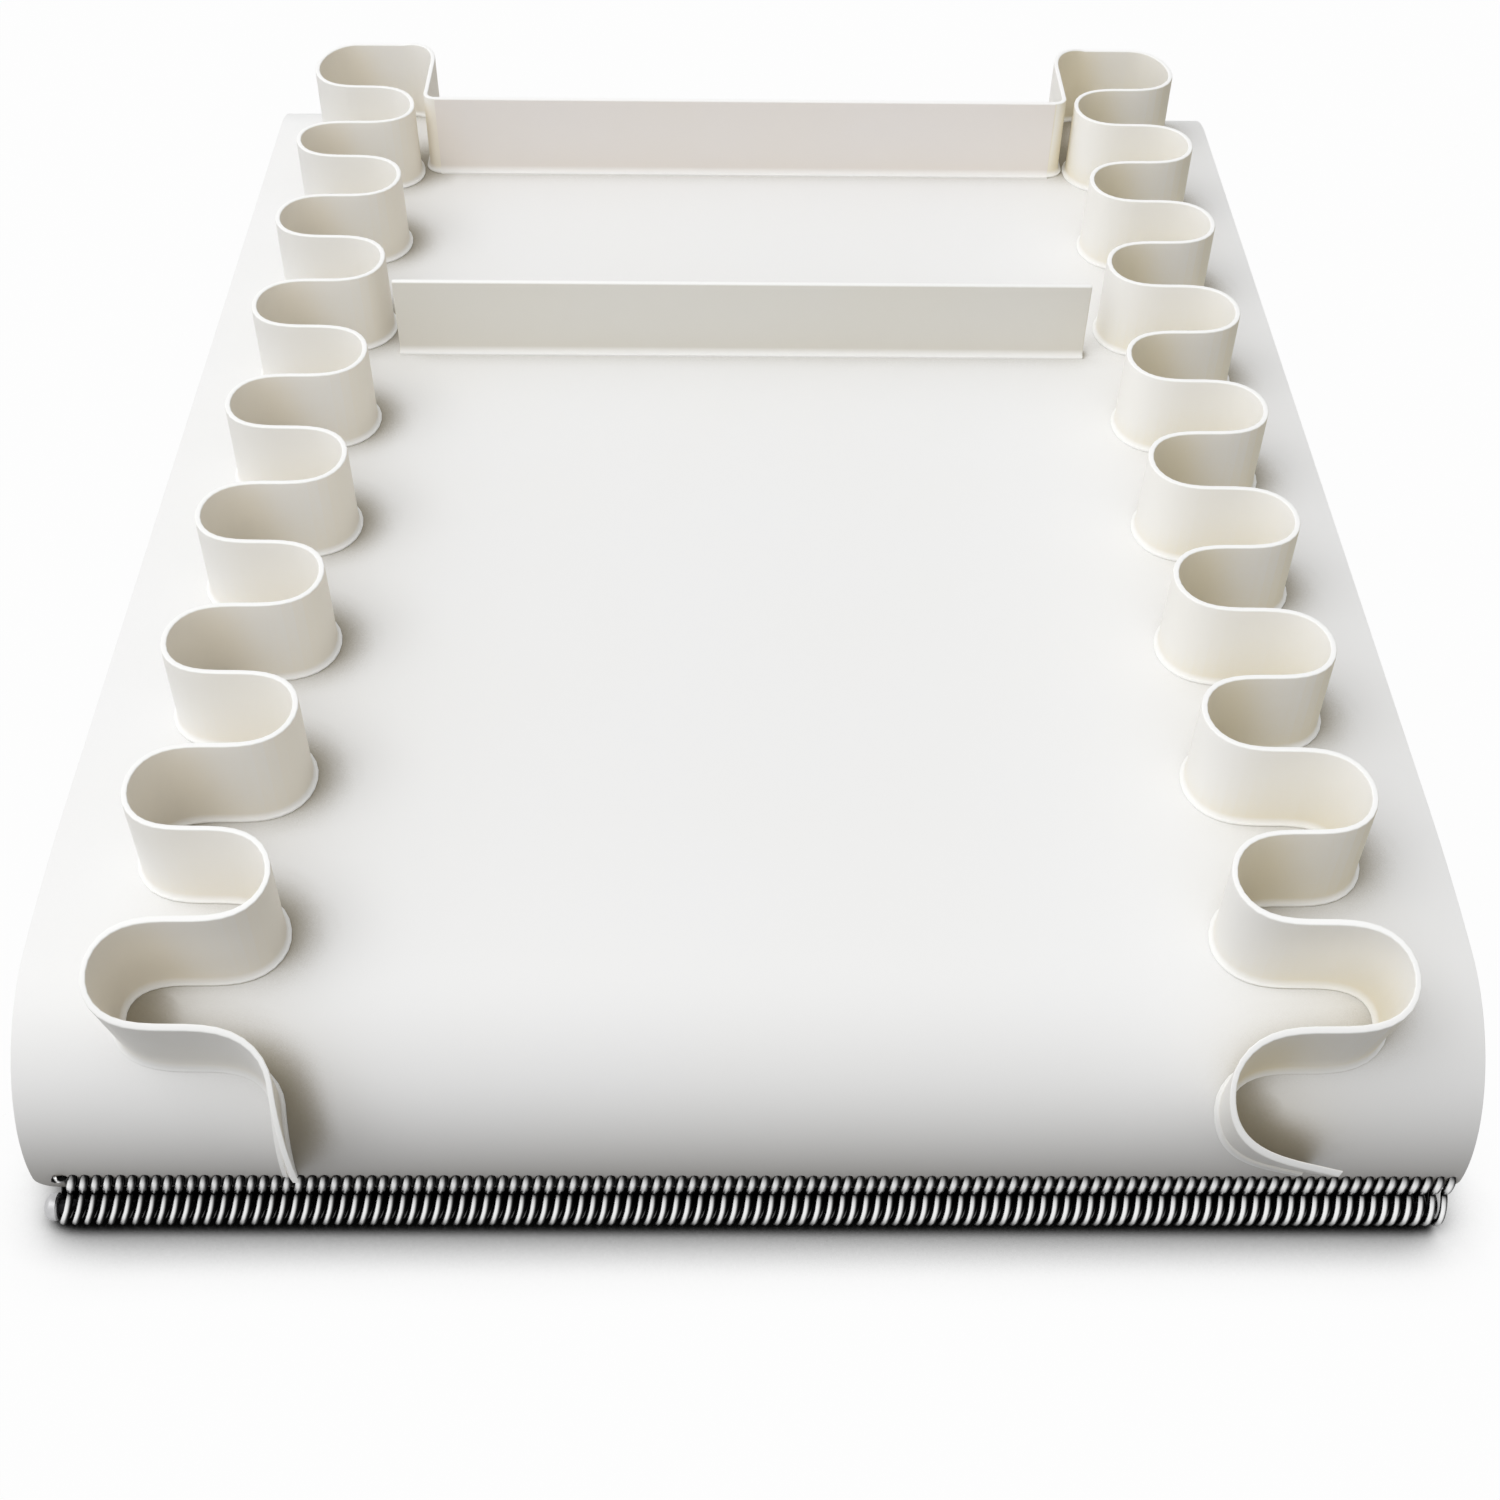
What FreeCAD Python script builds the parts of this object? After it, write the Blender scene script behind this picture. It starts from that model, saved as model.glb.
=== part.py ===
import FreeCAD, Part

import math
import os

from FreeCAD import Vector

# Belt loop, millimetres
belt_width = 400.0
belt_height = 73.0
flat_length = 400.0
lead_radius = 500.0
lead_angle = 6.0
nose_radius = 46.0
loop_slit = 0.3
end_corner_radius = 6.0

# Belt layers, from the carrying face inwards
cover_thickness = 1.0
ply_thickness = 0.5
bond_thickness = 0.5

# Corrugated sidewalls
wall_height = 30.0
wall_thickness = 2.2
rear_wall_margin = 42.1
front_wall_margin = 50.7
wave_reach = 21.3
wave_start = 6.5
wave_pitch = 59.1
flat_half_waves = 15
nose_pitch = 46.2
nose_half_waves = 2
left_lobe_shift = 5.0
right_end_pitch = 104.0
lean_share = 0.39
rim_flare = 8.0
tail_reach = 20.0
tail_inset = 4.0
tail_radius = 4.0
tail_rise = 2.6
weld_line = 0.05

# Cleats
front_cleat_height = 30.0
cleat_thickness = 2.2
cleat_foot_width = 6.0
cleat_foot_height = 0.6
cleat_weld_height = 2.2
rear_cleat_place = 38.0
front_cleat_place = 169.3
front_cleat_left_gap = 3.7
front_cleat_right_gap = 7.0

# Spiral lacing and hinge pin
turn_pitch = 3.337
lacing_margin = 4.7
lacing_offset = 1.0
loop_radius = 4.3
carrying_wire = 1.7
return_wire = 1.0
stitch_depth = 7.5
stitch_share = 0.7
end_rise = 8.135
pin_lead = 1.366
stitch_zone = 8.5
wire_seat = 0.05
floor_gap = 0.1
pin_radius = 2.2
pin_clearance = 0.3
head_radius = 4.0
head_length = 3.6
head_grip = 2.2
head_rounding = 2.4
head_clearance = 0.4

# Return run near the lacing
return_end_gap = 9.5
return_tongue = 9.0
return_bend_radius = 30.0

# Sampling of the wave
steps_per_half_wave = 6
steps_per_quarter = 3

# Values that follow from the sizes above
half_width = belt_width / 2
belt_thickness = cover_thickness + 2 * ply_thickness + bond_thickness
rear_radius = belt_height / 2
nose_turn = math.radians(lead_angle)
lead_run = lead_radius * nose_turn
lead_centre_z = belt_height - lead_radius
nose_y = -flat_length - (lead_radius - nose_radius) * math.sin(nose_turn)
nose_z = lead_centre_z + (lead_radius - nose_radius) * math.cos(nose_turn)
pin_z = loop_radius + carrying_wire / 2 + floor_gap
end_turn = math.acos((pin_z + end_rise - nose_z) / nose_radius)
pin_y = nose_y - nose_radius * math.sin(end_turn) - pin_lead
carrying_length = flat_length + lead_run + nose_radius * (end_turn - nose_turn)
wall_end = carrying_length - stitch_zone
turns = int((belt_width - 2 * lacing_margin) / turn_pitch)
rear_cleat_height = wall_height + tail_rise


def carrying_point(run, depth=0.0):
    """Return y, z and slope of the carrying belt at a run length, at a depth under its outer face."""
    if run < 0:
        turn = run / rear_radius
        radius = rear_radius - depth
        return -radius * math.sin(turn), rear_radius + radius * math.cos(turn), turn
    if run <= flat_length:
        return -run, belt_height - depth, 0.0
    if run <= flat_length + lead_run:
        turn = (run - flat_length) / lead_radius
        radius = lead_radius - depth
        return -flat_length - radius * math.sin(turn), lead_centre_z + radius * math.cos(turn), turn
    turn = nose_turn + (run - flat_length - lead_run) / nose_radius
    radius = nose_radius - depth
    return nose_y - radius * math.sin(turn), nose_z + radius * math.cos(turn), turn


def arc(centre, radius, first, last):
    """Make an arc edge in the plane across the belt; a turn of zero points up and grows forwards."""
    def at(turn):
        return Vector(0, centre[0] - radius * math.sin(turn), centre[1] + radius * math.cos(turn))
    return Part.Arc(at(first), at((first + last) / 2), at(last)).toShape()


def line(first, last):
    return Part.makeLine(Vector(0, *first), Vector(0, *last))


def carrying_face_edges(depth):
    """Follow the carrying belt from the lacing over the nose and top run round the rear bend."""
    rear = rear_radius - depth
    return [
        arc((nose_y, nose_z), nose_radius - depth, end_turn, nose_turn),
        arc((-flat_length, lead_centre_z), lead_radius - depth, nose_turn, 0.0),
        line((-flat_length, belt_height - depth), (0.0, belt_height - depth)),
        arc((0.0, rear_radius), rear, 0.0, -math.pi),
    ]


def return_face_edges(depth):
    """Follow the return belt from its laced end down to the floor and back to the rear bend."""
    rise = pin_z - belt_thickness / 2
    bend = math.acos(1 - rise / (2 * return_bend_radius))
    end_y = pin_y + return_end_gap
    upper_y = end_y + return_tongue
    lower_y = upper_y + 2 * return_bend_radius * math.sin(bend)
    upper_z = return_bend_radius * (1 - 2 * math.cos(bend))
    return [
        line((end_y, rise + depth), (upper_y, rise + depth)),
        arc((upper_y, upper_z), return_bend_radius + depth, 0.0, -bend),
        arc((lower_y, return_bend_radius), return_bend_radius - depth, math.pi - bend, math.pi),
        line((lower_y, depth), (-loop_slit, depth)),
    ]


def layer_solid(face_edges, outer_depth, inner_depth, corner):
    """Extrude the strip between two depths over the belt width and round its laced corners."""
    outer = face_edges(outer_depth)
    inner = face_edges(inner_depth)
    ends = []
    for index, point in ((0, 0), (-1, -1)):
        ends.append(Part.makeLine(outer[index].Vertexes[point].Point, inner[index].Vertexes[point].Point))
    wire = Part.Wire(Part.__sortEdges__(outer + inner + ends))
    strip = Part.Face(wire).extrude(Vector(belt_width, 0, 0))
    strip.translate(Vector(-half_width, 0, 0))
    laced_end = ends[0].CenterOfMass
    corners = []
    for edge in strip.Edges:
        middle = edge.CenterOfMass
        at_end = abs(middle.y - laced_end.y) < 1e-3 and abs(middle.z - laced_end.z) < 1e-3
        if at_end and abs(abs(middle.x) - half_width) < 1e-3:
            corners.append(edge)
    return strip.makeFillet(corner, corners)


def belt_layers(prefix, face_edges):
    """Make the cover, two plies and the bond between them for one run of the belt."""
    stack = (
        ("cover", cover_thickness),
        ("upper_ply", ply_thickness),
        ("bond_layer", bond_thickness),
        ("lower_ply", ply_thickness),
    )
    made = {}
    depth = 0.0
    for name, thickness in stack:
        made[prefix + "_" + name] = layer_solid(face_edges, depth, depth + thickness, end_corner_radius)
        depth += thickness
    return made


def wall_centre(run):
    """Return how far a wall's middle lies from the belt's middle; the walls close in towards the front."""
    margin = rear_wall_margin + (front_wall_margin - rear_wall_margin) * run / wall_end
    return half_width - margin


def inner_face(run):
    """Return how far from the belt's middle a wall's inner lobes begin."""
    return wall_centre(run) - wave_reach - wall_thickness / 2


def tail_samples():
    """Trace the wall's rear end from the rear cleat round to the first outer lobe.

    Each sample is the run length, the distance from the belt's middle, the heading, where zero
    points forwards and a quarter turn outwards, and how far the rim rises there towards the cleat.
    """
    lobe = wave_pitch / 4
    inner = inner_face(rear_cleat_place) - tail_inset
    outer = wall_centre(wave_start) + wave_reach
    samples = []
    quarter = [math.pi / 2 * step / steps_per_quarter for step in range(steps_per_quarter + 1)]
    for turn in quarter:
        samples.append((rear_cleat_place - tail_radius * (1 - math.cos(turn)),
                        inner - tail_radius * (1 - math.sin(turn)), math.pi / 2 + turn, tail_rise))
    for turn in quarter:
        samples.append((wave_start - tail_reach * math.sin(turn), inner + lobe * (1 - math.cos(turn)),
                        math.atan2(lobe * math.sin(turn), -tail_reach * math.cos(turn)),
                        tail_rise * math.cos(turn)))
    for turn in quarter[:-1]:
        samples.append((wave_start - tail_reach * math.cos(turn), outer - lobe * (1 - math.sin(turn)),
                        math.atan2(lobe * math.cos(turn), tail_reach * math.sin(turn)), 0.0))
    return samples


def leg_sample(start, length, side, part, swing):
    """Place one sample on a leg that goes from a lobe on the given side to the lobe on the other.

    The distance from the wall's middle follows a cosine; the run length adds a swing of
    sine to its even growth, and a swing of one makes the leg cross the belt squarely.
    """
    run = start + length * (part + swing * math.sin(2 * math.pi * part) / (2 * math.pi))
    across = wall_centre(run) + side * wave_reach * math.cos(math.pi * part)
    along = length * (1 + swing * math.cos(2 * math.pi * part))
    outward = -side * wave_reach * math.pi * math.sin(math.pi * part)
    return run, across, math.atan2(outward, along), 0.0


def wave_samples(straight_end, first_lobe_shift):
    """Trace a whole wall: the curled tail, the wave on the flat run, then the closer wave on the nose."""
    samples = tail_samples()
    run = wave_start
    side = 1
    for index in range(flat_half_waves + nose_half_waves):
        length = wave_pitch / 2 if index < flat_half_waves else nose_pitch / 2
        if index < 2:
            length += side * first_lobe_shift
        for step in range(steps_per_half_wave):
            samples.append(leg_sample(run, length, side, step / steps_per_half_wave, 1.0))
        run += length
        side = -side
    for step in range(steps_per_half_wave + 1):
        place = run + (wall_end - run) * step / steps_per_half_wave
        if straight_end:
            samples.append((place, wall_centre(place) + side * wave_reach, 0.0, 0.0))
        else:
            length = right_end_pitch / 2
            samples.append(leg_sample(run, length, side, (place - run) / length, 0.0))
    return samples


def closed_solid(faces):
    """Sew faces into one solid whose skin faces outwards."""
    shell = Part.makeShell(faces)
    shell.sewShape()
    solid = Part.Solid(shell)
    if solid.Volume < 0:
        solid.reverse()
    return solid


def wall_point(run, across, height, rise):
    """Place a wall point: upright on the top run, leaning forwards and spreading its rim on the nose.

    Behind the top run the wall grows taller, so that its rim stays level over the rear bend.
    """
    y, z, turn = carrying_point(run, -weld_line)
    if run < 0:
        rise += belt_height + weld_line - z
    height *= 1 + rise / wall_height
    lean = wall_lean(turn)
    nose_share = max(0.0, (run - flat_length) / (wall_end - flat_length))
    wave = (across - wall_centre(run)) / wave_reach
    spread = rim_flare * nose_share ** 3 * wave * height / wall_height
    return Vector(across + spread, y - height * math.sin(lean), z + height * math.cos(lean))


def wall_lean(turn):
    return lean_share * max(0.0, turn)


def rail(samples, side, offset, height, marks):
    """Run a smooth curve along one edge of the wall, set off so that the leaning wall keeps its thickness."""
    points = []
    for run, across, heading, rise in samples:
        turn = carrying_point(run)[2]
        tilt = max(0.0, turn) - wall_lean(turn)
        moved = offset * math.hypot(1.0, math.sin(heading) * math.tan(tilt))
        sine, cosine = math.sin(heading), math.cos(heading)
        point = wall_point(run - moved * sine, across + moved * cosine, height, rise)
        points.append(Vector(side * point.x, point.y, point.z))
    curve = Part.BSplineCurve()
    curve.interpolate(Points=points, Parameters=marks)
    return curve


def rail_part(curve, first, last):
    """Cut one stretch out of a rail."""
    part = curve.copy()
    part.segment(first, last)
    return part.toShape()


def sidewall(side, straight_end, first_lobe_shift):
    """Stretch the wall's two faces, its foot and its rim between four smooth rails, lobe by lobe."""
    samples = wave_samples(straight_end, first_lobe_shift)
    marks = [0.0]
    for first, second in zip(samples, samples[1:]):
        marks.append(marks[-1] + math.hypot(second[0] - first[0], second[1] - first[1]))
    half = wall_thickness / 2
    curves = [rail(samples, side, offset, height, marks)
              for offset, height in ((-half, 0.0), (half, 0.0), (half, wall_height), (-half, wall_height))]
    same_way = 1
    faces = []
    lobes = marks[:-1:steps_per_half_wave] + marks[-1:]
    for first, last in zip(lobes, lobes[1:]):
        rails = [rail_part(curve, first, last) for curve in curves]
        for index in range(4):
            faces.append(Part.makeRuledSurface(rails[index], rails[(index + 1) % 4], same_way))
    for end in (marks[0], marks[-1]):
        corners = [curve.value(end) for curve in curves]
        foot = Part.makeLine(corners[0], corners[1])
        rim = Part.makeLine(corners[3], corners[2])
        faces.append(Part.makeRuledSurface(foot, rim, same_way))
    return closed_solid(faces)


def cleat(place, left, right, height):
    """Extrude an upright blade with a low foot welded to the belt."""
    blade = cleat_thickness / 2
    foot = cleat_foot_width / 2
    heights = (
        (-foot, 0.0), (foot, 0.0), (foot, cleat_foot_height), (blade, cleat_weld_height),
        (blade, height), (-blade, height), (-blade, cleat_weld_height), (-foot, cleat_foot_height),
    )
    outline = [Vector(left, -place + y, belt_height + z) for y, z in heights]
    face = Part.Face(Part.makePolygon(outline + outline[:1]))
    return face.extrude(Vector(right - left, 0, 0))


def wire_skin(first, second):
    """Join two rings of corners with flat faces: one for each side that lies flat, else two triangles."""
    faces = []
    for index in range(len(first)):
        after = (index + 1) % len(first)
        quad = [first[index], first[after], second[after], second[index]]
        edges = [corner - quad[0] for corner in quad[1:]]
        if abs(edges[0].cross(edges[1]).dot(edges[2])) < 1e-7:
            faces.append(Part.Face(Part.makePolygon(quad + quad[:1])))
            continue
        for corners in (quad[:3], quad[2:] + quad[:1]):
            faces.append(Part.Face(Part.makePolygon(corners + corners[:1])))
    return faces


def mitre(corners, index):
    """Return the direction across the wire at a corner, lengthened to keep both legs' thickness."""
    normals = []
    for step in (0, 1):
        first = corners[index - 1 + step]
        last = corners[(index + step) % len(corners)]
        normals.append(Vector(0, first[1] - last[1], last[0] - first[0]).normalize())
    return (normals[0] + normals[1]) * (1 / (1 + normals[0].dot(normals[1])))


def spiral(corners, count, width, sides):
    """Wind a wire of a few flats through its corners, turn after turn, along the pin.

    Each corner has the share of the pitch that the turn has gained there, counted from the front of
    the pin. The shares of both spirals agree, so that they stay half a pitch apart round the pin.
    """
    first_turn = lacing_offset - turn_pitch * (count - 1) / 2
    reach = width / 2 / math.cos(math.pi / sides)
    rings = []
    mitres = [mitre(corners, index) for index in range(len(corners))]
    for turn in range(count):
        for (y, z, share), across in zip(corners, mitres):
            centre = Vector(first_turn + turn_pitch * (turn + share), pin_y + y, pin_z + z)
            ring = []
            for index in range(sides):
                spin = 2 * math.pi * (index + 0.5) / sides
                ring.append(centre + across * (reach * math.sin(spin)) + Vector(reach * math.cos(spin), 0, 0))
            rings.append(ring)
    faces = [Part.Face(Part.makePolygon(ring + ring[:1])) for ring in (rings[0], rings[-1])]
    for before, after in zip(rings, rings[1:]):
        faces += wire_skin(before, after)
    return closed_solid(faces)


def carrying_spiral():
    """Stitch the carrying end: each turn goes round the pin, slants up the belt's end and through it."""
    step = 70.0
    corner_radius = loop_radius / math.cos(math.radians(step / 2))
    outside = -carrying_wire / 2 - wire_seat
    inside = belt_thickness + carrying_wire / 2 + wire_seat
    back_share = 0.5
    around = []
    for degrees, share in ((305.0, -0.46), (235.0, -0.24), (165.0, 0.08), (15.0, back_share)):
        angle = math.radians(degrees)
        around.append((corner_radius * math.cos(angle), corner_radius * math.sin(angle), share))
    on_belt = (
        (stitch_depth, outside, stitch_share), (stitch_depth, inside, stitch_share),
        (0.0, inside, (stitch_share + back_share) / 2),
    )
    stitches = []
    for from_end, depth, share in on_belt:
        y, z, turn = carrying_point(carrying_length - from_end, depth)
        stitches.append((y - pin_y, z - pin_z, share))
    around[3:3] = stitches
    return spiral(around, turns, carrying_wire, 4)


def return_spiral():
    """Stitch the return end: each turn goes through the belt and round the pin between the other turns."""
    loop = pin_radius + pin_clearance + return_wire / 2
    leg = belt_thickness / 2 + return_wire / 2 + wire_seat
    hole = return_end_gap + stitch_depth
    exit_y = loop_radius
    around = (
        (hole, -leg, -0.5), (exit_y, -loop, -0.5), (-loop, -loop, -0.2),
        (-loop, loop, 0.2), (exit_y, loop, 0.5), (hole, leg, 0.5),
    )
    return spiral(around, turns - 1, return_wire, 4)


def hinge_pin():
    """Make the plain rod through both spirals."""
    left = head_place() - head_grip
    right = lacing_offset + turn_pitch * turns / 2
    return Part.makeCylinder(pin_radius, right - left, Vector(left, pin_y, pin_z), Vector(1, 0, 0))


def head_place():
    """Return where the head ends, just clear of the first turn."""
    first_turn = lacing_offset - turn_pitch * turns / 2
    return first_turn - carrying_wire / 2 - head_clearance


def pin_head():
    """Turn a round-edged head, bored to grip the rod."""
    inner = head_place()
    bore = inner - head_grip
    crown = inner - head_length
    rim = head_radius - head_rounding
    middle = head_rounding * (1 - math.sqrt(0.5))
    points = [Vector(x, r, 0) for x, r in (
        (crown + head_rounding, head_radius), (inner, head_radius), (inner, pin_radius),
        (bore, pin_radius), (bore, 0), (crown, 0), (crown, rim))]
    edge = Part.Arc(points[-1], Vector(crown + middle, head_radius - middle, 0), points[0]).toShape()
    outline = Part.Wire(Part.makePolygon(points).Edges + [edge])
    head = Part.Face(outline).revolve(Vector(0, 0, 0), Vector(1, 0, 0), 360)
    head.translate(Vector(0, pin_y, pin_z))
    return head


def main():
    pieces = {}
    pieces.update(belt_layers("carrying", carrying_face_edges))
    pieces.update(belt_layers("return", return_face_edges))
    pieces["left_sidewall"] = sidewall(-1, True, left_lobe_shift)
    pieces["right_sidewall"] = sidewall(1, False, 0.0)
    tails = inner_face(rear_cleat_place) - tail_inset - tail_radius
    lobes = inner_face(front_cleat_place)
    pieces["rear_cleat"] = cleat(rear_cleat_place, -tails, tails, rear_cleat_height)
    pieces["front_cleat"] = cleat(front_cleat_place, front_cleat_left_gap - lobes,
                                  lobes - front_cleat_right_gap, front_cleat_height)
    pieces["carrying_spiral"] = carrying_spiral()
    pieces["return_spiral"] = return_spiral()
    pieces["hinge_pin"] = hinge_pin()
    pieces["pin_head"] = pin_head()
    front = min(pieces[name].optimalBoundingBox().YMin for name in ("left_sidewall", "right_sidewall"))
    to_middle = Vector(0, -(front + rear_radius) / 2, 0)
    os.makedirs("parts", exist_ok=True)
    for name, piece in pieces.items():
        piece.translate(to_middle)
        piece.exportStep("parts/" + name + ".step")


main()
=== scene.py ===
"""White PVC conveyor belt: its layers, corrugated sidewalls, cleats, spiral lacing and studio stage."""

import math

import bpy
import numpy as np
from bpy.props import FloatProperty, FloatVectorProperty, IntProperty, PointerProperty
from bpy.types import NodeSocket, Operator, Panel, PropertyGroup
from mathutils import Matrix, Vector


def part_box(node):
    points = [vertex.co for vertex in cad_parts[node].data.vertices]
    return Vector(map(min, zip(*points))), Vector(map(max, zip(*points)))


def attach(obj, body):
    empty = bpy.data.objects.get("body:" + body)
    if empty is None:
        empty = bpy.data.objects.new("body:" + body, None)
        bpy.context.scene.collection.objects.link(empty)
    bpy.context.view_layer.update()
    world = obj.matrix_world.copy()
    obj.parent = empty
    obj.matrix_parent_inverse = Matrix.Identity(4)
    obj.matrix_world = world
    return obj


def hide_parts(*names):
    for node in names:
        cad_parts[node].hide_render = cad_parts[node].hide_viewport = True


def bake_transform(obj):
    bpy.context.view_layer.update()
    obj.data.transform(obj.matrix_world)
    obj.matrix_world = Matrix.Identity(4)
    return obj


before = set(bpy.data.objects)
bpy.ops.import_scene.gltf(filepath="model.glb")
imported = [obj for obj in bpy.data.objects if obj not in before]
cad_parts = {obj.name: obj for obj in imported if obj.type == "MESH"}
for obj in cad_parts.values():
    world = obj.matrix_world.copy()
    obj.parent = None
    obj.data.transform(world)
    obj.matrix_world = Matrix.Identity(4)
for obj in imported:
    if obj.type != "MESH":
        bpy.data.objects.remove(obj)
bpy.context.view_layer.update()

bl_info = {
    "name": "PVC conveyor belt",
    "version": (1, 0, 0),
    "blender": (4, 5, 0),
    "location": "3D View > Sidebar > Belt",
    "description": "Dresses a laced PVC conveyor belt with corrugated sidewalls and cleats",
    "category": "Object",
}

COVER_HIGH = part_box("carrying_cover")[1]
PIN_LOW, PIN_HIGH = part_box("hinge_pin")
PIN_Y = (PIN_LOW.y + PIN_HIGH.y) / 2
PIN_Z = (PIN_LOW.z + PIN_HIGH.z) / 2
HEAD_LOW, HEAD_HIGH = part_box("pin_head")
LAYERS = {
    "cover": ("belt_cover_white", "belt_cover"),
    "upper_ply": ("woven_ply", "belt_ply"),
    "bond_layer": ("bond_pvc", "belt_bond"),
    "lower_ply": ("woven_ply", "belt_ply"),
}
LAYER_DEPTHS = [COVER_HIGH.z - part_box("carrying_" + layer)[1].z for layer in LAYERS]
WHITE = (1.0, 1.0, 1.0)
LIGHT_SIDE = (-1.0, -0.3, 0.1)
KEY_PLACE = Vector((-1.1, -0.45, 1.75))
KEY_AIM = Vector((0, 0, 0.05))


def length(name, description, default):
    """Return a property that holds a length in metres."""
    return FloatProperty(name=name, description=description, default=default, unit="LENGTH", precision=5)


def angle(name, description, degrees):
    """Return a property that holds an angle, given in degrees."""
    return FloatProperty(name=name, description=description, default=math.radians(degrees), unit="ROTATION")


def share(name, description, default):
    """Return a property that holds a plain ratio."""
    return FloatProperty(name=name, description=description, default=default, subtype="FACTOR")


def colour(name, description, default):
    """Return a property that holds a linear colour."""
    return FloatVectorProperty(name=name, description=description, default=default, subtype="COLOR", size=3)


class BELT_PG_line(PropertyGroup):
    """Sizes of the belt's line, seen from the side, and of its layers."""

    half_width: length("Half width", "Half of the belt's width", COVER_HIGH.x)
    height: length("Height", "Height of the carrying face", COVER_HIGH.z)
    flat: length("Flat run", "Length of the level top run", 0.400)
    lead_radius: length("Lead radius", "Radius of the slow bend before the nose", 0.500)
    lead_angle: angle("Lead angle", "Slope where the nose begins", 6.0)
    nose_radius: length("Nose radius", "Radius of the front nose", 0.046)
    end_angle: angle("End angle", "Slope of the laced end", 104.0)
    corner: length("Corner", "Rounding of the corners beside the lacing", 0.006)
    lower_ply: length("Lower ply", "Thickness of the lowest layer", 0.0005)
    # Painted shade: the cover darkens towards the laced end, where the nose turns down away from the light
    hem_shade: length("Hem", "Reach of the shaded hem from the laced end", 0.045)
    # Painted shadow: a dark band on the cover between the wire's beads, stopping short of the laced end
    stitch: length("Stitch", "Reach of the dark band between the beads from the laced end", 0.0072)
    bead_shadow_edge: length("Stitch edge", "Clean strip between the dark band and the laced end", 0.0011)
    bead_shadow_half: length("Stitch half", "Half of the dark band's length across the belt", 0.1915)
    edge: length("Edge rounding", "Rounding of each layer's long edges", 0.00018)
    tongue_gap: length("Tongue gap", "Distance from the pin to the return run's end", 0.0095)
    tongue: length("Tongue", "Level stretch of the return run at the pin", 0.009)
    tongue_bend: length("Tongue bend", "Radius of the bends down to the floor", 0.030)


class BELT_PG_wall(PropertyGroup):
    """Sizes of the corrugated sidewalls."""

    height: length("Height", "Height of a wall over the carrying face", 0.030)
    thickness: length("Thickness", "Thickness of a wall", 0.0022)
    rear_centre: length("Rear centre", "Distance of a wall from the belt's middle at the rear", 0.1579)
    front_centre: length("Front centre", "Distance of a wall from the belt's middle at the lacing", 0.1493)
    reach: length("Reach", "How far a lobe stands to each side", 0.0213)
    start: length("Start", "Run length of the first outer lobe", 0.0065)
    pitch: length("Pitch", "Length of one wave on the top run", 0.0591)
    half_waves: IntProperty(name="Half waves", description="Half waves on the top run", default=15)
    nose_pitch: length("Nose pitch", "Length of one wave on the nose", 0.0462)
    nose_half_waves: IntProperty(name="Nose half waves", description="Half waves on the nose", default=2)
    end_pitch: length("End pitch", "Length of the wave that the right wall ends in", 0.0868)
    end_part: share("End part", "Share of that wave's leg at which the right wall is cut", 0.569)
    end_swing: share("End swing", "How strongly that leg is bowed", 0.5)
    thin: share("Thin", "How much thinner a wall is drawn at the lacing", 0.3)
    taper: share("Taper", "How much thinner a wall is at its rim", 0.18)
    end_gap: length("End gap", "Distance from a wall's end to the belt's end", 0.0085)
    lean: share("Lean", "How much of the belt's slope a wall follows", 0.39)
    flare: length("Flare", "How far the rim spreads at the lacing", 0.008)
    tail: length("Tail", "How far the rear tail loops back", 0.020)
    tail_inset: length("Tail inset", "How far inside the inner lobes the tail comes back", 0.004)
    tail_radius: length("Tail radius", "Radius of the tail's turn to the rear cleat", 0.004)
    tail_rise: length("Tail rise", "How much taller the tail is at the rear cleat", 0.0026)
    lobe_shift: length("Lobe shift", "How far forwards the left wall's first inner lobe stands", 0.005)
    cleat_place: length("Cleat place", "Run length of the rear cleat", 0.038)
    rim: length("Rim rounding", "Rounding of the rim's edges", 0.0004)
    foot: length("Foot", "How far the welded foot stands out at each side", 0.0012)
    foot_height: length("Foot height", "Height of the welded foot", 0.0007)
    fillet: length("Fillet", "Height where the foot has faded into the wall", 0.0024)


class BELT_PG_cleat(PropertyGroup):
    """Sizes of the cleats."""

    thickness: length("Thickness", "Thickness of a cleat's blade", 0.0022)
    foot_height: length("Foot height", "Height of the foot's edge", 0.0006)
    fillet: length("Fillet", "Height where the foot has faded into the blade", 0.0030)
    rim: length("Rim rounding", "Rounding of the blade's top edges", 0.0006)


class BELT_PG_lacing(PropertyGroup):
    """Sizes of the spirals."""

    turns: IntProperty(name="Turns", description="Turns of the carrying spiral", default=117)
    pitch: length("Pitch", "Distance from turn to turn", 0.00336)
    middle: length("Middle", "Place of the lacing's middle across the belt", 0.0015)
    wire: length("Wire", "Thickness of the carrying spiral's wire", 0.0021)
    return_wire: length("Return wire", "Thickness of the return spiral's wire", 0.0009)
    lean: share("Lean", "Lean of the outermost turns towards the middle", 0.14)
    # Painted highlight: the bright crown is turned towards the left, where the light comes from
    sheen_turn: angle("Polish turn", "How far the polished crown lies left of the wire's front", 30.0)


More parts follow.
